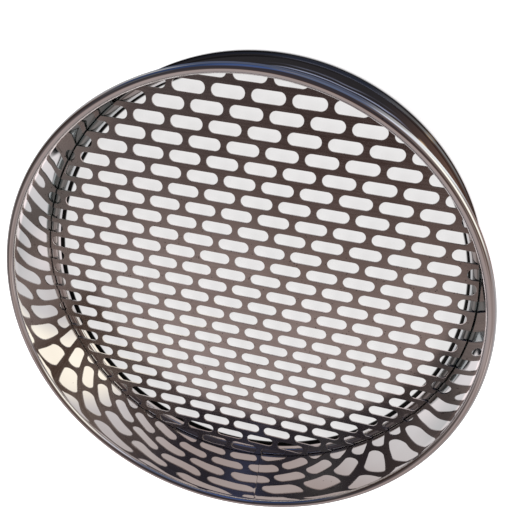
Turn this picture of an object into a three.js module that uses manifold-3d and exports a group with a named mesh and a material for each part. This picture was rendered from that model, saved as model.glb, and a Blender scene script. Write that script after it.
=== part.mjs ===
// Cheese mold: a shallow round hoop of stainless sheet with a loose perforated base.
//
// The hoop is one strip of sheet, rolled round and butt-welded. Its top edge curls
// outward over a wire to make the rim. Its bottom edge curls inward over a thicker
// wire to make the foot, which stands a little proud of the wall outside, and the top
// of that curl is the ledge the base lies on.
// The base is a disc sheared from slotted sheet, so its round edge cuts through the
// pattern. It drops in from above and lifts straight out.
//
// Millimetres, +Z up. The origin is the centre of the circle the foot stands on.

import * as THREE from 'three';
import { mergeVertices } from 'three/addons/utils/BufferGeometryUtils.js';
import Module from 'manifold-3d';

// ---- hoop ----
const HOOP_INNER_RADIUS = 100;
const SHEET_THICKNESS = 0.8;
const OVERALL_HEIGHT = 41.7;
const RIM_BEAD_DIAMETER = 3.8;
const FOOT_BEAD_DIAMETER = 5.4;
const FOOT_PROUD = 1.0; // of the outside of the wall
const CURL_END_GAP = 0.3; // between the end of each curl and the wall it returns to
const ROUND_SIDES = 60; // flats round the hoop, the wires and the base

// ---- weld seam, ground nearly flush with the inside of the wall ----
const SEAM_ANGLE = 100.8; // of its middle, in degrees from +X
const SEAM_LEAN = 6; // degrees off upright
const SEAM_WIDTH = 1.4;
const SEAM_PROUD = 0.25; // of the corners of the wall; its flats are 0.14 proud of them
const SEAM_INTO_WALL = 0.4;
const SEAM_START = 8; // height of its lower end
const SEAM_END = 37;

// ---- wires held in the two curls ----
const WIRE_CLEARANCE = 0.3;
const WIRE_SIDES = 8;

// ---- perforated base ----
const BASE_THICKNESS = 0.8;
const BASE_SEAT_GAP = 0.3; // under the base, above the ledge
const BASE_EDGE_GAP = 0.5; // between the edge of the base and the wall
const SLOT_LENGTH = 13.9;
const SLOT_WIDTH = 5.1;
const SLOT_PITCH = 16.5; // along a row
const ROW_PITCH = 7.28; // between rows; every other row is shifted by half a pitch
const PATTERN_X = 1.0; // centre of the slot nearest the middle of the disc
const PATTERN_Y = 1.4;
const SMALLEST_NOTCH = 1.2; // slots that would nick the edge less deeply are left out
const THINNEST_WEB = 0.6; // least metal left between a slot and the edge

// ---- worked out from the above ----
const OUTER_STEP = 30; // degrees per flat on the outside of a curl
const INNER_STEP = 45; // degrees per flat on the inside of a curl
const FLAT = Math.cos(THREE.MathUtils.degToRad(OUTER_STEP / 2));
const HOOP_OUTER_RADIUS = HOOP_INNER_RADIUS + SHEET_THICKNESS;
const RIM_RADIUS = RIM_BEAD_DIAMETER / 2;
const FOOT_RADIUS = FOOT_BEAD_DIAMETER / 2;
const RIM_CENTRE = new THREE.Vector2(HOOP_INNER_RADIUS + RIM_RADIUS, OVERALL_HEIGHT - RIM_RADIUS * FLAT);
const FOOT_CENTRE = new THREE.Vector2(HOOP_OUTER_RADIUS + FOOT_PROUD - FOOT_RADIUS, FOOT_RADIUS * FLAT);
const LEDGE_HEIGHT = FOOT_CENTRE.y + FOOT_RADIUS * FLAT;
const BASE_UNDERSIDE = LEDGE_HEIGHT + BASE_SEAT_GAP;
const BASE_TOP = BASE_UNDERSIDE + BASE_THICKNESS;
const BASE_RADIUS = HOOP_INNER_RADIUS - BASE_EDGE_GAP;

const wasm = await Module();
wasm.setup();

function steel(color, roughness) {
  return new THREE.MeshStandardMaterial({ color, roughness, metalness: 1 });
}

function toManifold(geometry) {
  const bare = geometry.clone();
  bare.deleteAttribute('normal');
  bare.deleteAttribute('uv');
  const welded = mergeVertices(bare, 1e-5);
  const mesh = new wasm.Mesh({
    numProp: 3,
    vertProperties: new Float32Array(welded.attributes.position.array),
    triVerts: new Uint32Array(welded.index.array),
  });
  return new wasm.Manifold(mesh);
}

function toGeometry(manifold) {
  const mesh = manifold.getMesh();
  const geometry = new THREE.BufferGeometry();
  geometry.setAttribute('position', new THREE.BufferAttribute(new Float32Array(mesh.vertProperties), 3));
  geometry.setIndex(new THREE.BufferAttribute(new Uint32Array(mesh.triVerts), 1));
  const flat = geometry.toNonIndexed();
  flat.computeVertexNormals();
  return flat;
}

function node(name, geometry, material) {
  const mesh = new THREE.Mesh(geometry, material);
  mesh.name = name;
  return mesh;
}

// A closed clockwise outline of (radius, height) points, turned about +Z.
function turned(outline) {
  const closed = [...outline, outline[0]].reverse();
  const geometry = new THREE.LatheGeometry(closed, ROUND_SIDES);
  geometry.rotateX(Math.PI / 2);
  return geometry;
}

// Points on a circle, going clockwise from one angle to another. The steps are laid
// out so that the highest and lowest flats are level.
function clockwiseArc(centre, radius, fromDegrees, toDegrees, step) {
  const angles = [fromDegrees];
  const firstStep = Math.floor((fromDegrees - step / 2) / step) * step + step / 2;
  for (let angle = firstStep; angle > toDegrees + step / 4; angle -= step) {
    if (angle < fromDegrees - step / 4) {
      angles.push(angle);
    }
  }
  angles.push(toDegrees);
  return angles.map((angle) => {
    const a = THREE.MathUtils.degToRad(angle);
    return new THREE.Vector2(centre.x + radius * Math.cos(a), centre.y + radius * Math.sin(a));
  });
}

// Section of the strip: up the inside of the wall, over the rim curl to its end, back
// along the inside of that curl, down the outside of the wall, under the foot curl to
// its end, and back along the inside of that curl to the wall. Below the top of the
// base the wall spreads outward into the foot.
function hoopSection() {
  const rimEnd = -THREE.MathUtils.radToDeg(
    Math.acos((HOOP_OUTER_RADIUS + CURL_END_GAP - RIM_CENTRE.x) / RIM_RADIUS),
  );
  const footEnd = THREE.MathUtils.radToDeg(
    Math.acos((HOOP_INNER_RADIUS - CURL_END_GAP - FOOT_CENTRE.x) / FOOT_RADIUS),
  ) - 360;
  const rimInside = RIM_RADIUS - SHEET_THICKNESS;
  const footInside = FOOT_RADIUS - SHEET_THICKNESS;
  return [
    ...clockwiseArc(RIM_CENTRE, RIM_RADIUS, 180, rimEnd, OUTER_STEP),
    ...clockwiseArc(RIM_CENTRE, rimInside, 180, rimEnd, INNER_STEP).reverse(),
    new THREE.Vector2(HOOP_OUTER_RADIUS, BASE_TOP),
    ...clockwiseArc(FOOT_CENTRE, FOOT_RADIUS, 0, footEnd, OUTER_STEP),
    ...clockwiseArc(FOOT_CENTRE, footInside, 0, footEnd, INNER_STEP).reverse(),
    new THREE.Vector2(HOOP_INNER_RADIUS, BASE_TOP),
  ];
}

function seam() {
  const depth = SEAM_PROUD + SEAM_INTO_WALL;
  const box = new THREE.BoxGeometry(depth, SEAM_WIDTH, SEAM_END - SEAM_START);
  const radius = HOOP_INNER_RADIUS - SEAM_PROUD + depth / 2;
  box.rotateX(THREE.MathUtils.degToRad(-SEAM_LEAN));
  box.translate(radius, 0, (SEAM_START + SEAM_END) / 2);
  box.rotateZ(THREE.MathUtils.degToRad(SEAM_ANGLE));
  return box;
}

function hoopShell() {
  const body = toManifold(turned(hoopSection())).add(toManifold(seam()));
  return node('hoop_shell', toGeometry(body), steel('#b9b7b6', 0.12));
}

// A ring of round wire that fills a curl, less the clearance.
function wire(name, curlCentre, curlRadius) {
  const narrowest = (curlRadius - SHEET_THICKNESS) * Math.cos(THREE.MathUtils.degToRad(INNER_STEP / 2));
  const radius = narrowest - WIRE_CLEARANCE;
  const section = clockwiseArc(curlCentre, radius, 360, 0, 360 / WIRE_SIDES).slice(0, -1);
  return node(name, turned(section), steel('#9c9b99', 0.45));
}

// Outline of one slot: two straight sides and two round ends of three flats each.
function slotShape(cx, cy) {
  const r = SLOT_WIDTH / 2;
  const reach = SLOT_LENGTH / 2 - r;
  const corners = [-90, -30, 30, 90].map((angle) => THREE.MathUtils.degToRad(angle));
  const right = corners.map((a) => new THREE.Vector2(reach + r * Math.cos(a), r * Math.sin(a)));
  const left = right.map((p) => new THREE.Vector2(-p.x, -p.y));
  return new THREE.Shape([...right, ...left].map((p) => new THREE.Vector2(cx + p.x, cy + p.y)));
}

// How far a slot reaches from the middle of the disc, and how near it comes.
function slotReach([cx, cy]) {
  const r = SLOT_WIDTH / 2;
  const half = SLOT_LENGTH / 2 - r;
  const ends = [Math.hypot(cx - half, cy), Math.hypot(cx + half, cy)];
  return { far: Math.max(...ends) + r, near: Math.min(...ends) - r };
}

// A slot that runs well past the edge is cut open by it.
function isOpen(centre) {
  return slotReach(centre).far > BASE_RADIUS + THINNEST_WEB;
}

function slotCentres() {
  const rows = Math.ceil(BASE_RADIUS / ROW_PITCH) + 1;
  const columns = Math.ceil(BASE_RADIUS / SLOT_PITCH) + 1;
  const centres = [];
  for (let row = -rows; row <= rows; row += 1) {
    const shift = row % 2 === 0 ? 0 : SLOT_PITCH / 2;
    for (let column = -columns; column <= columns; column += 1) {
      centres.push([PATTERN_X + column * SLOT_PITCH + shift, PATTERN_Y + row * ROW_PITCH]);
    }
  }
  return centres.filter((centre) => slotReach(centre).near < BASE_RADIUS - SMALLEST_NOTCH);
}

function disc(radius, bottom, top) {
  const outline = [[0, bottom], [0, top], [radius, top], [radius, bottom]];
  return toManifold(turned(outline.map(([r, z]) => new THREE.Vector2(r, z))));
}

function punches(centres) {
  const shapes = centres.map(([cx, cy]) => slotShape(cx, cy));
  const geometry = new THREE.ExtrudeGeometry(shapes, { depth: BASE_THICKNESS + 2, bevelEnabled: false });
  geometry.translate(0, 0, BASE_UNDERSIDE - 1);
  return toManifold(geometry);
}

// Slots that would all but reach the edge stop short of it by the thinnest web.
function perforatedBase() {
  const inside = disc(BASE_RADIUS - THINNEST_WEB, BASE_UNDERSIDE - 2, BASE_TOP + 2);
  const centres = slotCentres();
  const whole = punches(centres.filter((centre) => !isOpen(centre))).intersect(inside);
  const cut = punches(centres.filter(isOpen));
  const plate = disc(BASE_RADIUS, BASE_UNDERSIDE, BASE_TOP).subtract(whole).subtract(cut);
  return node('perforated_base', toGeometry(plate), steel('#8d8580', 0.28));
}

const mold = new THREE.Group();
mold.name = 'cheese_mold';
mold.add(hoopShell());
mold.add(wire('rim_wire', RIM_CENTRE, RIM_RADIUS));
mold.add(wire('foot_wire', FOOT_CENTRE, FOOT_RADIUS));
mold.add(perforatedBase());

export default mold;
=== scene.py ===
# Looks of the cheese mold: a polished hoop with a curled rim and foot, and a loose slotted base.
# Metres, +Z up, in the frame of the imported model.

import math

import bpy
from mathutils import Matrix, Vector, geometry


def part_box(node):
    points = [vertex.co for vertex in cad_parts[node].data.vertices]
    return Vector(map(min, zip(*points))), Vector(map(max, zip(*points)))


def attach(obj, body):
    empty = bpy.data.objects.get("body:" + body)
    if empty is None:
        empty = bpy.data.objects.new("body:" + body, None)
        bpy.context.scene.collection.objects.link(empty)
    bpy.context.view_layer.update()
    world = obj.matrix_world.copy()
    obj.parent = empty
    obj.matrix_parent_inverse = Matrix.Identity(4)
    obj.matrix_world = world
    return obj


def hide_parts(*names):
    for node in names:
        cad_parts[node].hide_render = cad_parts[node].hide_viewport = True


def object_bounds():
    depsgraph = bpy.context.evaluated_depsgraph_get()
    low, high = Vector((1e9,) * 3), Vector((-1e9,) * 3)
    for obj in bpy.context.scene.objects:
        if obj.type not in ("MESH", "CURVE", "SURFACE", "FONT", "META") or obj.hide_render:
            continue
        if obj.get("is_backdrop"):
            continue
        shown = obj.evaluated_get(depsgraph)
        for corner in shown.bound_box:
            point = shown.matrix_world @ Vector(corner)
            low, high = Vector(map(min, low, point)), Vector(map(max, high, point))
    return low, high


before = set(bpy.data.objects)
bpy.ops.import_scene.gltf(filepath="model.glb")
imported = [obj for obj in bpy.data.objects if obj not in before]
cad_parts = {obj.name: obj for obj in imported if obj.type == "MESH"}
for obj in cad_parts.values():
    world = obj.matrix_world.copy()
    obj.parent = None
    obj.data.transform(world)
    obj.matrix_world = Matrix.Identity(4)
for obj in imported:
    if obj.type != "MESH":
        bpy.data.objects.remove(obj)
cad_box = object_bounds()

MM = 0.001

# ---- places taken from the frame ----
TOP_OF_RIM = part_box("hoop_shell")[1].z
BASE_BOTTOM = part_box("perforated_base")[0].z
BASE_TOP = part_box("perforated_base")[1].z

# ---- hoop ----
INNER_RADIUS = 100 * MM
SHEET = 0.8 * MM
RIM_RADIUS = 1.9 * MM  # of the curl's section
FOOT_RADIUS = 2.7 * MM
FOOT_PROUD = 1.0 * MM  # of the outside of the wall
CURL_END_GAP = 0.3 * MM
RIM_CENTRE = (INNER_RADIUS + RIM_RADIUS, TOP_OF_RIM - RIM_RADIUS)
FOOT_CENTRE = (INNER_RADIUS + SHEET + FOOT_PROUD - FOOT_RADIUS, FOOT_RADIUS)
ARC_STEP = math.radians(7)
HIDDEN_ARC_STEP = math.radians(15)
WALL_ROWS = 24
SPREAD_ROWS = 8
TURN_STEPS = 360
CUT_EDGE_STEP = math.radians(30)  # round the end of the sheet in each curl
ON_FACE = SHEET / 10  # a point this near to a face of the sheet is on it
WALL_SIDE = SHEET * 1.1  # depth of a curl's section that is wall, not curl

# ---- weld seam, leaning a little ----
SEAM_ANGLE_LOW = math.radians(99.8)  # at the top of the base
SEAM_ANGLE_HIGH = math.radians(102)  # at the middle of the rim curl
SEAM_HEIGHT = 0.018 * MM  # ridge on the wall
SEAM_HALF_WIDTH = 0.3 * MM
SEAM_DIP = 0.10 * MM  # where the two ends meet in each curl
SEAM_DIP_HALF_WIDTH = 0.25 * MM
SEAM_FINE_REACH = math.radians(0.7)
SEAM_FINE_STEP = math.radians(0.08)
SEAM_LINE = 0.16 * MM  # half the width of the dark line left by the weld
SEAM_LINE_CORE = 0.4  # share of it that is fully dark

# ---- the hoop is a little out of round ----
BULGE = 0.32 * MM  # at the rim, and half of it at the foot
BULGE_ANGLE = math.radians(238)
BULGE_HALF_WIDTH = math.radians(40)

# ---- wires in the curls ----
WIRE_CLEARANCE = 0.3 * MM
WIRE_TURN_STEPS = 240
WIRE_ARC_STEP = math.radians(20)

# ---- slotted base ----
BASE_RADIUS = 99.7 * MM
SLOT_HALF_WIDTH = 2.55 * MM
SLOT_REACH = 4.4 * MM  # from a slot's centre to the centre of either round end
SLOT_PITCH = 16.5 * MM
ROW_PITCH = 7.28 * MM
PATTERN_X = 1.0 * MM
PATTERN_Y = 1.4 * MM
SMALLEST_NOTCH = 1.2 * MM
THINNEST_WEB = 0.6 * MM
PUNCHED_EDGE = 0.12 * MM  # rounding left by the punch
END_POINTS = 17  # on each round end of a slot
SIDE_POINTS = 4  # steps along each straight side of a slot
EDGE_SPACING = 0.6 * MM  # between the points of a cut edge
RIM_ARC_STEP = math.radians(0.75)
FINE_END_POINTS = 60  # on each round end of a slot that is about to be cut
FINE_SIDE_POINTS = 40
CLIPPED_SIDE_STEPS = 8  # along the side of a slot that follows the edge of the base
LEAST_EDGE_STEPS = 6
HALVINGS = 30  # when looking for the place where an outline meets a circle
STEP_MARGIN = 1.0001  # keeps a rounding error from adding a step to an arc
CAP_UNITS_PER_METRE = 1000  # the flat faces are divided into triangles in millimetres
CAP_TOLERANCE = 1e-6

# ---- colours of the steel ----
SHEET_DIM = (0.70, 0.68, 0.67, 1)
SHEET_BRIGHT = (0.76, 0.755, 0.75, 1)
SHEET_STAIN = (0.10, 0.09, 0.085, 1)  # specks and the line of the weld
# Painted shade: the outer side of the foot is painted dark.
SHEET_SHADED_AT_FOOT = (0.16, 0.155, 0.155, 1)
# Painted shade: two sides of the inside of the wall are painted darker and greyer, so they mirror darker.
SHEET_AT_SHADED_SIDES = (0.395, 0.445, 0.45, 1)
SLOTTED_DIM = (0.50, 0.46, 0.44, 1)
SLOTTED_BRIGHT = (0.60, 0.565, 0.545, 1)
SLOTTED_STAIN = (0.16, 0.13, 0.12, 1)
# Painted shade: the underside of the base is painted dark.
SLOTTED_UNDERSIDE = (0.14, 0.13, 0.125, 1)
WIRE_DIM = (0.52, 0.51, 0.50, 1)
WIRE_BRIGHT = (0.64, 0.63, 0.62, 1)

# ---- finish of the steel ----
POLISHED_ROUGHNESS = 0.022
WIPE_ROUGHNESS = 0.05  # added by the wipe marks
STAIN_ROUGHNESS = 0.2  # added by specks and the line of the weld
SPECK_DARKNESS = 0.45
SEAM_DARKNESS = 0.75
ROLL_WAVE_DEPTH = 0.6 * MM
SLOTTED_ROUGHNESS = (0.16, 0.26)
SLOTTED_SPECK_ROUGHNESS = 0.25  # added by the specks
SLOTTED_SPECK_DARKNESS = 0.6
SPECK_DEPTH = 0.006 * MM
GRAIN_SHARE = 0.6  # height of the grain against the depth of the specks
WIRE_ROUGHNESS = (0.32, 0.5)
DIE_LINE_DEPTH = 0.03 * MM

# ---- where shade is painted on the polished sheet, making it darker ----
FOOT_FADE = (4.5 * MM, 7.5 * MM)  # heights
FOOT_OUTSIDE = (INNER_RADIUS + SHEET, INNER_RADIUS + SHEET + 0.4 * MM)
WALL_INSIDE = (INNER_RADIUS + 0.35 * MM, INNER_RADIUS + 0.5 * MM)
WALL_FADE = (36 * MM, 38.5 * MM)  # heights
# Inside of the wall, where painted shade darkens it: azimuth, fully shaded within, gone beyond, in
# degrees.
SHADED_SIDES = ((120, 13, 34), (-90, 10, 30))

# ---- floor ----
FLOOR_HALF_WIDTH = 2.5
# Distances from the middle of the hoop between which the floor changes.
LEDGE_SHADOW = (95.0 * MM, 95.7 * MM)
CONTACT_SHADOW = (101.2 * MM, 102.2 * MM)
BENCH = (105.5 * MM, 108 * MM)

# ---- floor: how it is painted and how much it glows ----
# Painted shade: within the hoop the floor is painted darker and glows less than outside; under the foot it
# is painted nearly black.
PAINT_WITHIN = (0.20, 0.198, 0.198, 1)
PAINT_UNDER_FOOT = (0.02, 0.019, 0.018, 1)
PAINT_OUTSIDE = (0.86, 0.86, 0.87, 1)
GLOW_COLOUR = (1.0, 0.99, 0.99, 1)
GLOW_WITHIN = 0.70
GLOW_OUTSIDE = 0.85

# ---- floor: what mirrors see of it ----
# The sectors are soft: azimuth, elevation, full within, gone beyond, in degrees, and colour.
MIRRORED_WITHIN = (0.78, 0.755, 0.77, 1)
PAST_SHADED_SIDE = (1.21, 1.085, 1.10, 1)
SHADED_SIDE_SHIFT = 0.09  # share of a shaded side's azimuth that its reflection is turned by
SECTORS_WITHIN = (
    (-2, 0, 14, 44, (0.50, 0.42, 0.405, 1)),
    (51, 0, 5, 17, (1.36, 1.27, 1.10, 1)),
    *((side * (1 - SHADED_SIDE_SHIFT), 0, full, gone, PAST_SHADED_SIDE) for side, full, gone in SHADED_SIDES),
)
MIRRORED_UNDER_FOOT = (0.010, 0.010, 0.011, 1)
BENCH_LEFT = (0.16, 0.09, 0.067, 1)
BENCH_RIGHT = (0.028, 0.026, 0.029, 1)
BENCH_CHANGE = (-95 * MM, -40 * MM)  # along X
STREAK_SECTOR = (-164, 0, 9, 20)
STREAK_START = (103.8 * MM, 105.3 * MM)
STREAK_COLOUR = (0.34, 0.37, 0.52, 1)
STREAK_SPACING = 1.3 * MM
STREAK_BEND = 14  # in radians of the ripple that makes the streaks
GLEAM_SECTOR = (-141, 0, 0, 2.4)
GLEAM_START = (104.4 * MM, 105.4 * MM)
GLEAM_COLOUR = (0.95, 0.68, 0.42, 1)
MIRRORED_BEYOND = (0.52, 0.52, 0.53, 1)
SECTORS_BEYOND = (
    (178, 0, 22, 34, (0.10, 0.12, 0.19, 1)),
    (-136, 0, 5, 12, (1.05, 1.07, 1.08, 1)),
    (-112, 0, 6, 14, (0.34, 0.25, 0.23, 1)),
)

# ---- room: what mirrors see overhead ----
# By elevation, in degrees.
SKY = (
    (0, (0.38, 0.33, 0.33, 1)),
    (56, (0.455, 0.375, 0.365, 1)),
    (62, (0.42, 0.335, 0.315, 1)),
    (67, (0.145, 0.10, 0.09, 1)),
    (75, (0.065, 0.04, 0.035, 1)),
)
# Soft patches over it: azimuth, elevation, full within, gone beyond, in degrees, and colour.
SKY_PATCHES = (
    (-40, 46, 10, 30, (0.34, 0.275, 0.26, 1)),
    (60, 69, 7, 17, (0.09, 0.062, 0.056, 1)),
    (-65, 73, 5, 13, (0.09, 0.06, 0.05, 1)),
    (90, 45, 27, 38, (0.115, 0.095, 0.09, 1)),
    (55, 56, 5, 11, (0.20, 0.165, 0.165, 1)),
    (155, 52, 30, 56, (0.048, 0.042, 0.052, 1)),
    (120, 41, 6, 13, (0.11, 0.11, 0.115, 1)),
    (158, 38, 6, 12, (0.10, 0.12, 0.23, 1)),
    (-100, 50, 12, 24, (0.20, 0.155, 0.135, 1)),
    (-142, 48, 6, 14, (0.13, 0.10, 0.095, 1)),
    (97, 21, 14, 24, (0.045, 0.028, 0.022, 1)),
    (150, 12, 22, 32, (0.04, 0.065, 0.15, 1)),
    (167, 22, 9, 17, (0.07, 0.12, 0.30, 1)),
    (-166, 18, 12, 24, (0.13, 0.17, 0.28, 1)),
    (-106, 33, 6, 12, (0.46, 0.33, 0.26, 1)),
    (-90, 43, 6, 13, (0.13, 0.085, 0.065, 1)),
    (-141, 12, 8, 16, (0.90, 0.95, 1.10, 1)),
    (-115, 16, 14, 24, (1.35, 1.33, 1.22, 1)),
    (-51, 40, 3, 8, (0.85, 0.74, 0.71, 1)),
)
BACKDROP = (0.93, 0.93, 0.94, 1)

# ---- camera: near, looking steeply down, and turned nearly upside down ----
CAMERA_PLACE = Vector((-45.7, -147.4, 271.38)) * MM
CAMERA_AZIMUTH = 17.405  # of the way it looks, in degrees
CAMERA_ELEVATION = -54.148
CAMERA_ROLL = math.radians(-153.582)
CAMERA_LENS = 45.53
CAMERA_SENSOR = 36
CAMERA_SHIFT = (0.0793, 0.1687)
CAMERA_CLIP_START = 10 * MM


# ======================= mesh tools =======================


def new_object(name, vertices, faces, smooth):
    mesh = bpy.data.meshes.new(name)
    mesh.from_pydata(vertices, [], faces)
    mesh.polygons.foreach_set("use_smooth", smooth)
    mesh.update()
    made = bpy.data.objects.new(name, mesh)
    bpy.context.scene.collection.objects.link(made)
    return made


def arc(centre, radius, start, end, step):
    """Points from one angle to another, both ends included."""
    count = max(2, math.ceil(abs(end - start) / step))
    angles = [start + (end - start) * i / count for i in range(count + 1)]
    return [(centre[0] + radius * math.cos(a), centre[1] + radius * math.sin(a)) for a in angles]


def line(start, end, count):
    """Points between two ends, which aren't included."""
    return [
        (start[0] + (end[0] - start[0]) * i / count, start[1] + (end[1] - start[1]) * i / count)
        for i in range(1, count)
    ]


def turned(name, outline, angles, shape=None):
    """A ring: a closed outline of (radius, height) points turned about +Z. shape moves a point."""
    vertices = []
    for angle in angles:
        for radius, height in outline:
            if shape:
                radius, height = shape(radius, height, angle)
            vertices.append((radius * math.cos(angle), radius * math.sin(angle), height))
    size = len(outline)
    faces = []
    for i in range(len(angles)):
        here = i * size
        there = (i + 1) % len(angles) * size
        for j in range(size):
            k = (j + 1) % size
            faces.append((here + k, there + k, there + j, here + j))
    return new_object(name, vertices, faces, [True] * len(faces))


# ======================= hoop =======================


def curl_end(centre, radius, gap_edge):
    """Angle at which a curl's outer side comes this near to the wall."""
    return math.acos((gap_edge - centre[0]) / radius)


def cut_edge(centre, radius, angle, way):
    """The rounded end of the sheet, from the outside of a curl to its inside."""
    half = SHEET / 2
    middle = (centre[0] + (radius - half) * math.cos(angle), centre[1] + (radius - half) * math.sin(angle))
    return arc(middle, half, angle, angle + way * math.pi, CUT_EDGE_STEP)[1:-1]


def spread(radius, height):
    """Points down the wall from the top of the base, where it spreads into the foot."""
    points = []
    for i in range(SPREAD_ROWS):
        t = i / SPREAD_ROWS
        points.append((radius + FOOT_PROUD * t * t * (3 - 2 * t), BASE_TOP + (height - BASE_TOP) * t))
    return points


def hoop_outline():
    """Section of the strip, clockwise: inside of the wall, rim curl, outside of the wall, foot curl."""
    rim_end = -curl_end(RIM_CENTRE, RIM_RADIUS, INNER_RADIUS + SHEET + CURL_END_GAP)
    foot_end = curl_end(FOOT_CENTRE, FOOT_RADIUS, INNER_RADIUS - CURL_END_GAP) - 2 * math.pi
    outer = INNER_RADIUS + SHEET
    return [
        *arc(RIM_CENTRE, RIM_RADIUS, math.pi, rim_end, ARC_STEP),
        *cut_edge(RIM_CENTRE, RIM_RADIUS, rim_end, -1),
        *arc(RIM_CENTRE, RIM_RADIUS - SHEET, rim_end, math.pi, HIDDEN_ARC_STEP),
        *line((outer, RIM_CENTRE[1]), (outer, BASE_TOP), WALL_ROWS),
        *spread(outer, FOOT_CENTRE[1]),
        *arc(FOOT_CENTRE, FOOT_RADIUS, 0, foot_end, ARC_STEP),
        *cut_edge(FOOT_CENTRE, FOOT_RADIUS, foot_end, -1),
        *arc(FOOT_CENTRE, FOOT_RADIUS - SHEET, foot_end, 0, HIDDEN_ARC_STEP),
        *spread(INNER_RADIUS, FOOT_CENTRE[1])[::-1],
        *line((INNER_RADIUS, BASE_TOP), (INNER_RADIUS, RIM_CENTRE[1]), WALL_ROWS),
    ]


def turn_angles():
    """Once round, with fine steps across the seam."""
    start = SEAM_ANGLE_LOW - SEAM_FINE_REACH
    end = SEAM_ANGLE_HIGH + SEAM_FINE_REACH
    fine = math.ceil((end - start) / SEAM_FINE_STEP)
    coarse = round((2 * math.pi - end + start) / (2 * math.pi) * TURN_STEPS)
    angles = [start + (end - start) * i / fine for i in range(fine)]
    return angles + [end + (2 * math.pi - end + start) * i / coarse for i in range(coarse)]


def seam_angle(height):
    up = (height - BASE_TOP) / (RIM_CENTRE[1] - BASE_TOP)
    return SEAM_ANGLE_LOW + (SEAM_ANGLE_HIGH - SEAM_ANGLE_LOW) * min(1, max(0, up))


def hill(distance, half_width):
    return math.exp(-((distance / half_width) ** 2))


def with_seam(radius, height, angle):
    """The ground weld stands slightly proud of both faces of the wall, and dips in each curl."""
    turn = angle - seam_angle(height)
    across = turn * INNER_RADIUS
    if abs(turn) > SEAM_FINE_REACH:
        return radius, height
    for centre, section in ((RIM_CENTRE, RIM_RADIUS), (FOOT_CENTRE, FOOT_RADIUS)):
        away = Vector((radius - centre[0], height - centre[1]))
        beside_wall = abs(away.x) > section - WALL_SIDE and FOOT_CENTRE[1] < height < RIM_CENTRE[1]
        if abs(away.length - section) < ON_FACE and not beside_wall:
            away -= away.normalized() * SEAM_DIP * hill(across, SEAM_DIP_HALF_WIDTH)
            return centre[0] + away.x, centre[1] + away.y
    if FOOT_CENTRE[1] < height < RIM_CENTRE[1]:
        rise = SEAM_HEIGHT * hill(across, SEAM_HALF_WIDTH)
        if abs(radius - INNER_RADIUS) < ON_FACE:
            return radius - rise, height
        if abs(radius - INNER_RADIUS - SHEET) < ON_FACE:
            return radius + rise, height
    return radius, height


def out_of_round(radius, height, angle):
    """Half as much at the foot as at the rim."""
    up = height / TOP_OF_RIM
    away = (angle - BULGE_ANGLE + math.pi) % (2 * math.pi) - math.pi
    return radius + BULGE * (1 + up) / 2 * hill(away, BULGE_HALF_WIDTH), height


def hoop_shape(radius, height, angle):
    return out_of_round(*with_seam(radius, height, angle), angle)


def make_hoop():
    return turned("hoop", hoop_outline(), turn_angles(), hoop_shape)


def make_wire(name, centre, curl_radius):
    radius = curl_radius - SHEET - WIRE_CLEARANCE
    outline = arc(centre, radius, 2 * math.pi, 0, WIRE_ARC_STEP)[:-1]
    angles = [2 * math.pi * i / WIRE_TURN_STEPS for i in range(WIRE_TURN_STEPS)]
    return turned(name, outline, angles, out_of_round)


# ======================= slotted base =======================


def slot_centres():
    rows = math.ceil(BASE_RADIUS / ROW_PITCH) + 1
    columns = math.ceil(BASE_RADIUS / SLOT_PITCH) + 1
    for row in range(-rows, rows + 1):
        shift = 0 if row % 2 == 0 else SLOT_PITCH / 2
        for column in range(-columns, columns + 1):
            yield PATTERN_X + column * SLOT_PITCH + shift, PATTERN_Y + row * ROW_PITCH


def slot_outline(centre, half_width, end_points, side_points):
    """A slot's edge, anticlockwise, as a closed line of points."""
    right = (centre[0] + SLOT_REACH, centre[1])
    left = (centre[0] - SLOT_REACH, centre[1])
    quarter = math.pi / 2
    step = math.pi / (end_points - 1)
    right_end = arc(right, half_width, -quarter, quarter, step)
    left_end = arc(left, half_width, quarter, 3 * quarter, step)
    return [
        *right_end,
        *line(right_end[-1], left_end[0], side_points),
        *left_end,
        *line(left_end[-1], right_end[0], side_points),
    ]


def crossing(inside, outside, limit):
    """Where the line between two points meets the circle of the limit radius."""
    a, b = Vector(inside), Vector(outside)
    for _ in range(HALVINGS):
        middle = (a + b) / 2
        if middle.length < limit:
            a = middle
        else:
            b = middle
    return tuple(a)


def run_inside(points, limit):
    """The one stretch of a closed line that lies within the limit radius."""
    inside = [math.hypot(*p) < limit for p in points]
    count = len(points)
    start = next(i for i in range(count) if inside[i] and not inside[i - 1])
    run = [crossing(points[start], points[start - 1], limit)]
    i = start
    while inside[i % count]:
        run.append(points[i % count])
        i += 1
    run.append(crossing(run[-1], points[i % count], limit))
    return run


def respaced(points, count):
    """The same open line with count equal steps."""
    lengths = [math.dist(a, b) for a, b in zip(points, points[1:])]
    total = sum(lengths)
    result = [points[0]]
    i, passed = 0, 0.0
    for k in range(1, count):
        target = total * k / count
        while passed + lengths[i] < target:
            passed += lengths[i]
            i += 1
        t = (target - passed) / lengths[i]
        a, b = points[i], points[i + 1]
        result.append((a[0] + (b[0] - a[0]) * t, a[1] + (b[1] - a[1]) * t))
    return [*result, points[-1]]


def edge_steps(points):
    length = sum(math.dist(a, b) for a, b in zip(points, points[1:]))
    return max(LEAST_EDGE_STEPS, round(length / EDGE_SPACING))


def fine_slot(centre, grow):
    return slot_outline(centre, SLOT_HALF_WIDTH + grow, FINE_END_POINTS, FINE_SIDE_POINTS)


def angle_of(point):
    return math.atan2(point[1], point[0])


def circle_between(start, end, radius, count):
    """Points on the base's edge between two of its points, anticlockwise, ends not included."""
    a, b = angle_of(start), angle_of(end)
    if b < a:
        b += 2 * math.pi
    return arc((0, 0), radius, a, b, (b - a) / count * STEP_MARGIN)[1:-1]


def steps_between(start, end):
    a, b = angle_of(start), angle_of(end)
    return max(2, math.ceil((b - a) % (2 * math.pi) / RIM_ARC_STEP))


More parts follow.
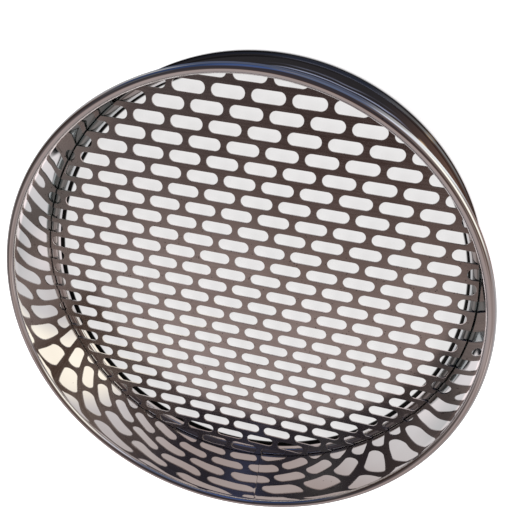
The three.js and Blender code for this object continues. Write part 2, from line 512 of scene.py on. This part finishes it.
class BasePattern:
    """The outlines of the slotted base: one outer edge and its closed slots.

    Open slots run out through the edge, clipped ones stop short of it by the thinnest web.
    """

    def __init__(self):
        self.whole, self.clipped, self.open = [], [], []
        for centre in slot_centres():
            ends = [math.hypot(centre[0] + side * SLOT_REACH, centre[1]) for side in (-1, 1)]
            near, far = min(ends) - SLOT_HALF_WIDTH, max(ends) + SLOT_HALF_WIDTH
            if near > BASE_RADIUS - SMALLEST_NOTCH:
                continue
            if far > BASE_RADIUS + THINNEST_WEB:
                self.open.append(centre)
            elif far > BASE_RADIUS - THINNEST_WEB:
                self.clipped.append(centre)
            else:
                self.whole.append(centre)
        self.notch_steps = {c: edge_steps(self.notch(c, 0)) for c in self.open}
        self.clip_steps = {c: edge_steps(self.clip(c, 0)) for c in self.clipped}
        self.open.sort(key=lambda c: angle_of(self.notch(c, 0)[0]))
        self.arc_steps = self.outer_arc_steps()

    def notch(self, centre, grow):
        return run_inside(fine_slot(centre, grow), BASE_RADIUS - grow)[::-1]

    def clip(self, centre, grow):
        return run_inside(fine_slot(centre, grow), BASE_RADIUS - THINNEST_WEB + grow)

    def outer_arc_steps(self):
        notches = [self.notch(c, 0) for c in self.open]
        following = notches[1:] + notches[:1]
        return [steps_between(a[-1], b[0]) for a, b in zip(notches, following)]

    def outer_edge(self, grow):
        notches = [respaced(self.notch(c, grow), self.notch_steps[c]) for c in self.open]
        following = notches[1:] + notches[:1]
        points = []
        for notch, after, steps in zip(notches, following, self.arc_steps):
            points += notch
            points += circle_between(notch[-1], after[0], BASE_RADIUS - grow, steps)
        return points

    def clipped_slot(self, centre, grow):
        run = respaced(self.clip(centre, grow), self.clip_steps[centre])
        radius = BASE_RADIUS - THINNEST_WEB + grow
        return run + circle_between(run[-1], run[0], radius, CLIPPED_SIDE_STEPS)

    def loops(self, grow):
        """Every edge, with the holes larger and the disc smaller by grow."""
        yield self.outer_edge(grow)
        for centre in self.clipped:
            yield self.clipped_slot(centre, grow)
        for centre in self.whole:
            yield slot_outline(centre, SLOT_HALF_WIDTH + grow, END_POINTS, SIDE_POINTS)


def cap_triangles(loops):
    """Triangles between the outer edge and the holes, by the points' places in the loops."""
    points, rings = [], []
    for loop in loops:
        rings.append(list(range(len(points), len(points) + len(loop))))
        points += [Vector(p) * CAP_UNITS_PER_METRE for p in loop]
    result = geometry.delaunay_2d_cdt(points, [], rings, 0, CAP_TOLERANCE)
    source = [origins[0] for origins in result[3]]
    return [
        tuple(source[v] for v in triangle)
        for triangle, inside in zip(result[2], result[5])
        if list(inside) == [0]
    ]


def make_base():
    pattern = BasePattern()
    levels = (
        (BASE_TOP, PUNCHED_EDGE),
        (BASE_TOP - PUNCHED_EDGE, 0),
        (BASE_BOTTOM + PUNCHED_EDGE, 0),
        (BASE_BOTTOM, PUNCHED_EDGE),
    )
    rings = [list(pattern.loops(grow)) for _, grow in levels]
    vertices, faces = [], []
    for (height, _), loops in zip(levels, rings):
        for loop in loops:
            vertices += [(x, y, height) for x, y in loop]
    per_level = len(vertices) // len(levels)
    triangles = cap_triangles(rings[0])
    last = per_level * (len(levels) - 1)
    faces += triangles
    faces += [tuple(v + last for v in reversed(t)) for t in triangles]
    caps = len(faces)
    for level in range(len(levels) - 1):
        start = level * per_level
        for number, loop in enumerate(rings[0]):
            size = len(loop)
            for i in range(size):
                a, b = start + i, start + (i + 1) % size
                quad = (a, a + per_level, b + per_level, b)
                faces.append(quad if number == 0 else quad[::-1])
            start += size
    smooth = [False] * caps + [True] * (len(faces) - caps)
    return new_object("slotted_base", vertices, faces, smooth)


# ======================= materials =======================


def towards(azimuth, elevation):
    """Unit vector. Azimuth 0 is +Y and 90 is +X, in degrees."""
    a, e = math.radians(azimuth), math.radians(elevation)
    return Vector((math.sin(a) * math.cos(e), math.cos(a) * math.cos(e), math.sin(e)))


class Nodes:
    """Short ways to add shader nodes to one tree."""

    def __init__(self, tree):
        self.tree = tree
        tree.nodes.clear()

    def add(self, kind, inputs=None, **settings):
        node = self.tree.nodes.new(kind)
        for name, value in settings.items():
            setattr(node, name, value)
        for name, value in (inputs or {}).items():
            socket = node.inputs[name]
            if isinstance(value, bpy.types.NodeSocket):
                self.tree.links.new(value, socket)
            else:
                socket.default_value = value
        return node

    def math(self, operation, a, b=0.0):
        return self.add("ShaderNodeMath", {0: a, 1: b}, operation=operation).outputs[0]

    def times(self, a, b):
        return self.math("MULTIPLY", a, b)

    def plus(self, a, b):
        return self.math("ADD", a, b)

    def remap(self, value, from_low, from_high, to_low=0.0, to_high=1.0):
        """A smooth change between two values, level beyond them."""
        inputs = {
            "Value": value,
            "From Min": from_low,
            "From Max": from_high,
            "To Min": to_low,
            "To Max": to_high,
        }
        return self.add("ShaderNodeMapRange", inputs, interpolation_type="SMOOTHSTEP").outputs["Result"]

    def fade(self, value, full, gone):
        return self.remap(value, full, gone, 1.0, 0.0)

    def mix(self, factor, a, b):
        return self.add("ShaderNodeMix", {0: factor, 6: a, 7: b}, data_type="RGBA").outputs[2]

    def parts(self, vector):
        return self.add("ShaderNodeSeparateXYZ", {0: vector}).outputs

    def length(self, vector):
        return self.add("ShaderNodeVectorMath", {0: vector}, operation="LENGTH").outputs["Value"]

    def unit(self, vector):
        return self.add("ShaderNodeVectorMath", {0: vector}, operation="NORMALIZE").outputs["Vector"]

    def patch(self, direction, azimuth, elevation, full, gone):
        """1 within an angle of a direction, fading to 0 at a wider one, all in degrees."""
        inputs = {0: direction, 1: towards(azimuth, elevation)}
        facing = self.add("ShaderNodeVectorMath", inputs, operation="DOT_PRODUCT").outputs["Value"]
        return self.fade(self.math("ARCCOSINE", facing), math.radians(full), math.radians(gone))

    def patched(self, direction, colour, patches):
        """A colour with soft patches of other colours laid over it in turn."""
        for *where, tint in patches:
            colour = self.mix(self.patch(direction, *where), colour, tint)
        return colour

    def place(self, stretch=(1, 1, 1)):
        coordinates = self.add("ShaderNodeTexCoord").outputs["Object"]
        return self.add("ShaderNodeMapping", {"Vector": coordinates, "Scale": stretch}).outputs["Vector"]

    def noise(self, where, scale, detail=2.0, roughness=0.5):
        inputs = {"Vector": where, "Scale": scale, "Detail": detail, "Roughness": roughness}
        return self.add("ShaderNodeTexNoise", inputs).outputs["Fac"]

    def specks(self, where, scale, size, group_scale, groups):
        """Round specks: 1 in the middle of some cells of a pattern, where a coarser noise is high."""
        inputs = {"Vector": where, "Scale": scale, "Randomness": 1.0}
        distance = self.add("ShaderNodeTexVoronoi", inputs).outputs["Distance"]
        grouping = self.noise(where, group_scale, detail=1)
        return self.times(self.fade(distance, *size), self.remap(grouping, *groups))

    def bump(self, height, distance, strength=1.0):
        inputs = {"Height": height, "Distance": distance, "Strength": strength}
        return self.add("ShaderNodeBump", inputs).outputs["Normal"]

    def finish(self, shader, kind="ShaderNodeOutputMaterial"):
        self.add(kind, {"Surface": shader})

    def finish_steel(self, tint, roughness, normal):
        inputs = {"Base Color": tint, "Metallic": 1.0, "Roughness": roughness, "Normal": normal}
        self.finish(self.add("ShaderNodeBsdfPrincipled", inputs).outputs["BSDF"])


def new_material(name):
    material = bpy.data.materials.new(name)
    material.use_nodes = True
    return material, Nodes(material.node_tree)


def seam_line(n, place):
    """1 along the weld's hairline and 0 elsewhere."""
    parts = n.parts(place)
    angle = n.math("ARCTAN2", parts["Y"], parts["X"])
    lean = (SEAM_ANGLE_HIGH - SEAM_ANGLE_LOW) / (RIM_CENTRE[1] - BASE_TOP)
    middle = n.plus(n.times(parts["Z"], lean), SEAM_ANGLE_LOW - lean * BASE_TOP)
    away = n.math("ABSOLUTE", n.math("SUBTRACT", angle, middle))
    reach = SEAM_LINE / INNER_RADIUS
    return n.fade(away, reach * SEAM_LINE_CORE, reach)


def painted_shade(n, place):
    """Masks of painted shade: on the outer side of the foot, and on the inside of the wall at its shaded
    sides.
    """
    height = n.parts(place)["Z"]
    flat = n.add("ShaderNodeVectorMath", {0: place, 1: (1, 1, 0)}, operation="MULTIPLY").outputs["Vector"]
    radius = n.length(flat)
    heading = n.unit(flat)
    foot = n.times(n.fade(height, *FOOT_FADE), n.remap(radius, *FOOT_OUTSIDE))
    wall = n.times(n.fade(radius, *WALL_INSIDE), n.fade(height, *WALL_FADE))
    sides = [n.patch(heading, azimuth, 0, full, gone) for azimuth, full, gone in SHADED_SIDES]
    return foot, n.times(wall, n.math("MAXIMUM", *sides))


def polished_steel():
    """Mirror-polished sheet: gentle waves left by the rolls, fine wipe marks and faint specks, with
    painted shade on the outside of the foot and at two sides of the inside of the wall.
    """
    material, n = new_material("polished_steel")
    place = n.place()
    clouds = n.noise(place, scale=22, detail=3)
    wipes = n.noise(n.place(stretch=(60, 60, 900)), scale=1, detail=4, roughness=0.6)
    specks = n.specks(place, scale=260, size=(0.05, 0.11), group_scale=90, groups=(0.58, 0.64))
    stain = n.math("MAXIMUM", n.times(specks, SPECK_DARKNESS), n.times(seam_line(n, place), SEAM_DARKNESS))
    foot, sides = painted_shade(n, place)
    tint = n.mix(n.remap(clouds, 0.35, 0.65), SHEET_DIM, SHEET_BRIGHT)
    tint = n.mix(stain, tint, SHEET_STAIN)
    # Painted shade: darker on the outer side of the foot and at two sides of the inside of the wall.
    tint = n.mix(foot, tint, SHEET_SHADED_AT_FOOT)
    tint = n.mix(sides, tint, SHEET_AT_SHADED_SIDES)
    marks = n.times(n.remap(wipes, 0.45, 0.8), n.remap(clouds, 0.3, 0.7))
    rougher = n.plus(n.times(marks, WIPE_ROUGHNESS), n.times(stain, STAIN_ROUGHNESS))
    waves = n.noise(place, scale=28, detail=1, roughness=0.4)
    n.finish_steel(tint, n.plus(rougher, POLISHED_ROUGHNESS), n.bump(waves, ROLL_WAVE_DEPTH))
    return material


def slotted_steel():
    """Bright rolled sheet, a little dulled, with a fine grain and small dark specks. Painted shade makes
    it dark underneath.
    """
    material, n = new_material("slotted_steel")
    place = n.place()
    clouds = n.noise(place, scale=30, detail=3)
    grain = n.noise(n.place(stretch=(120, 1400, 1400)), scale=1, detail=3, roughness=0.6)
    specks = n.specks(place, scale=700, size=(0.12, 0.3), group_scale=260, groups=(0.52, 0.62))
    # Painted shade on the underside of the base.
    under = n.fade(n.parts(place)["Z"], BASE_BOTTOM, BASE_BOTTOM + PUNCHED_EDGE)
    tint = n.mix(n.remap(clouds, 0.3, 0.7), SLOTTED_DIM, SLOTTED_BRIGHT)
    tint = n.mix(n.times(specks, SLOTTED_SPECK_DARKNESS), tint, SLOTTED_STAIN)
    tint = n.mix(under, tint, SLOTTED_UNDERSIDE)
    polish = n.remap(grain, 0.3, 0.7, *SLOTTED_ROUGHNESS)
    roughness = n.plus(polish, n.times(specks, SLOTTED_SPECK_ROUGHNESS))
    relief = n.math("SUBTRACT", n.times(grain, GRAIN_SHARE), specks)
    n.finish_steel(tint, roughness, n.bump(relief, SPECK_DEPTH, strength=0.5))
    return material


def steel_wire():
    """Drawn wire: long die lines round the ring, dull."""
    material, n = new_material("steel_wire")
    lines = n.noise(n.place(stretch=(90, 90, 3000)), scale=1, detail=3)
    tint = n.mix(lines, WIRE_DIM, WIRE_BRIGHT)
    n.finish_steel(tint, n.remap(lines, 0.3, 0.7, *WIRE_ROUGHNESS), n.bump(lines, DIE_LINE_DEPTH))
    return material


def cover(piece, material):
    piece.data.materials.clear()
    piece.data.materials.append(material)


# ======================= floor, light, camera =======================


def mirrored_bench(n, place, radius, heading):
    """A dark strip of floor just outside the foot, with a few bright streaks and one warm gleam."""
    bench = n.mix(n.remap(n.parts(place)["X"], *BENCH_CHANGE), BENCH_LEFT, BENCH_RIGHT)
    bend = n.times(n.noise(place, scale=45, detail=1), STREAK_BEND)
    ripple = n.math("SINE", n.plus(n.times(radius, 2 * math.pi / STREAK_SPACING), bend))
    streaks = n.times(n.remap(ripple, 0.2, 1.0), n.patch(heading, *STREAK_SECTOR))
    streaks = n.times(streaks, n.remap(radius, *STREAK_START))
    gleam = n.times(n.patch(heading, *GLEAM_SECTOR), n.remap(radius, *GLEAM_START))
    return n.mix(gleam, n.mix(streaks, bench, STREAK_COLOUR), GLEAM_COLOUR)


def mirrored_floor(n, place, radius):
    """What steel sees of the floor: pale within the hoop, black under its foot, then a bench and grey."""
    heading = n.unit(place)
    within = n.patched(heading, MIRRORED_WITHIN, SECTORS_WITHIN)
    bench = mirrored_bench(n, place, radius, heading)
    beyond = n.patched(heading, MIRRORED_BEYOND, SECTORS_BEYOND)
    outside = n.mix(n.remap(radius, *CONTACT_SHADOW), MIRRORED_UNDER_FOOT, bench)
    outside = n.mix(n.remap(radius, *BENCH), outside, beyond)
    return n.mix(n.fade(radius, *LEDGE_SHADOW), outside, within)


def make_floor():
    """A pale, faintly glowing floor, with painted shade: dimmer within the hoop and dark under the foot.
    Mirrors see it as mirrored_floor says.
    """
    half = FLOOR_HALF_WIDTH
    corners = [(-half, -half, 0), (half, -half, 0), (half, half, 0), (-half, half, 0)]
    floor = new_object("floor", corners, [(0, 1, 2, 3)], [False])
    material, n = new_material("floor")
    place = n.place()
    radius = n.length(place)
    within = n.fade(radius, *LEDGE_SHADOW)
    outside = n.remap(radius, *CONTACT_SHADOW)
    paint = n.mix(outside, n.mix(within, PAINT_UNDER_FOOT, PAINT_WITHIN), PAINT_OUTSIDE)
    glow = n.plus(n.times(within, GLOW_WITHIN), n.times(outside, GLOW_OUTSIDE))
    diffuse = n.add("ShaderNodeBsdfDiffuse", {"Color": paint}).outputs[0]
    light = n.add("ShaderNodeEmission", {"Color": GLOW_COLOUR, "Strength": glow}).outputs[0]
    lit = n.add("ShaderNodeAddShader", {0: diffuse, 1: light}).outputs[0]
    mirrored = n.add("ShaderNodeEmission", {"Color": mirrored_floor(n, place, radius), "Strength": 1.0})
    glossy = n.add("ShaderNodeLightPath").outputs["Is Glossy Ray"]
    n.finish(n.add("ShaderNodeMixShader", {0: glossy, 1: lit, 2: mirrored.outputs[0]}).outputs[0])
    cover(floor, material)
    floor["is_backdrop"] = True


def make_world():
    """A pale backdrop for the camera. Mirrors see a room: dim overhead, lighter at the sides."""
    world = bpy.data.worlds.new("studio")
    world.use_nodes = True
    bpy.context.scene.world = world
    n = Nodes(world.node_tree)
    direction = n.add("ShaderNodeTexCoord").outputs["Generated"]
    height = n.parts(direction)["Z"]
    room = SKY[0][1]
    for (low, _), (high, tint) in zip(SKY, SKY[1:]):
        rise = n.remap(height, math.sin(math.radians(low)), math.sin(math.radians(high)))
        room = n.mix(rise, room, tint)
    room = n.patched(direction, room, SKY_PATCHES)
    seen = n.add("ShaderNodeLightPath").outputs["Is Camera Ray"]
    background = n.add("ShaderNodeBackground", {"Color": n.mix(seen, room, BACKDROP), "Strength": 1.0})
    n.finish(background.outputs[0], "ShaderNodeOutputWorld")


def softbox(name, azimuth, elevation, distance, size, power):
    """A large soft light that points at the hoop and doesn't show in mirrors."""
    light = bpy.data.lights.new(name, "AREA")
    light.shape = "RECTANGLE"
    light.size, light.size_y = size
    light.energy = power
    box = bpy.data.objects.new(name, light)
    way = towards(azimuth, elevation)
    box.location = way * distance
    box.rotation_mode = "QUATERNION"
    box.rotation_quaternion = way.to_track_quat("Z", "Y")
    box.visible_glossy = False
    bpy.context.scene.collection.objects.link(box)


def make_lights():
    softbox("overhead_fill", azimuth=30, elevation=65, distance=1.4, size=(1.6, 1.6), power=22)
    softbox("left_fill", azimuth=95, elevation=30, distance=1.4, size=(1.2, 0.8), power=10)


def make_camera():
    data = bpy.data.cameras.new("camera")
    data.sensor_width = CAMERA_SENSOR
    data.lens = CAMERA_LENS
    data.shift_x, data.shift_y = CAMERA_SHIFT
    data.clip_start = CAMERA_CLIP_START
    camera = bpy.data.objects.new("camera", data)
    back = -towards(CAMERA_AZIMUTH, CAMERA_ELEVATION)
    turn = back.to_track_quat("Z", "Y").to_matrix().to_4x4() @ Matrix.Rotation(CAMERA_ROLL, 4, "Z")
    camera.matrix_world = Matrix.Translation(CAMERA_PLACE) @ turn
    bpy.context.scene.collection.objects.link(camera)
    bpy.context.scene.camera = camera


# ======================= the object =======================

polished = polished_steel()
slotted = slotted_steel()
wire = steel_wire()

hoop = make_hoop()
cover(hoop, polished)
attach(hoop, "hoop")
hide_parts("hoop_shell")

for name, node, centre, radius in (
    ("rim_wire_ring", "rim_wire", RIM_CENTRE, RIM_RADIUS),
    ("foot_wire_ring", "foot_wire", FOOT_CENTRE, FOOT_RADIUS),
):
    ring = make_wire(name, centre, radius)
    cover(ring, wire)
    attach(ring, "hoop")
    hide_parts(node)

base = make_base()
cover(base, slotted)
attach(base, "base")
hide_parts("perforated_base")

make_camera()
make_floor()
make_world()
make_lights()
bpy.context.scene.view_settings.view_transform = "Standard"

for box in (cad_box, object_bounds()):
    str([list(corner) for corner in box]) + "\n"
